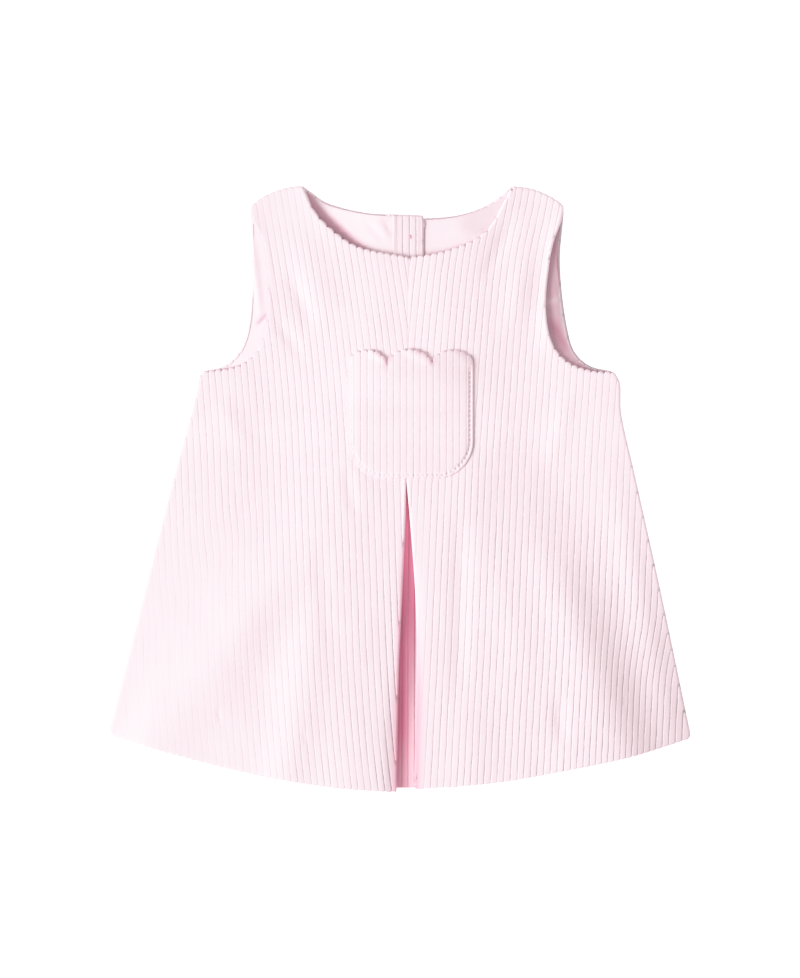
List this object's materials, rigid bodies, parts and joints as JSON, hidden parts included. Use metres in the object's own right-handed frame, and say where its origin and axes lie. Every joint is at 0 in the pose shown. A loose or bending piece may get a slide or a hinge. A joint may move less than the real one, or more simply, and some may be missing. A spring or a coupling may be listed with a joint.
{
  "type": "pinafore dress",
  "caption": "Child's sleeveless A-line corduroy pinafore dress laid flat, with a scalloped patch pocket, an inverted front pleat and a buttoned back placket.",
  "frame": {"origin": "centre of the bounding box at the surface that the dress lies on", "axes": "+Y up the dress towards the neck, +Z out of the surface through the front, +X to the right of a viewer who looks down on the front"},
  "size_m": [0.3796, 0.3946, 0.0136],
  "materials": {
    "corduroy": "pale pink jumbo corduroy, soft matt pile",
    "lining": "pale pink plain-weave lining, slight sheen",
    "button": "pale pink resin, satin"
  },
  "bodies": {
    "root": {"front_left": "corduroy", "front_right": "corduroy", "pleat_underlay": "corduroy", "pocket": "corduroy", "back_left": "corduroy", "back_right": "corduroy", "placket_facing": "corduroy", "lining_left": "lining", "lining_right": "lining", "button_1": "button", "button_2": "button", "button_3": "button"}
  },
  "joints": []
}
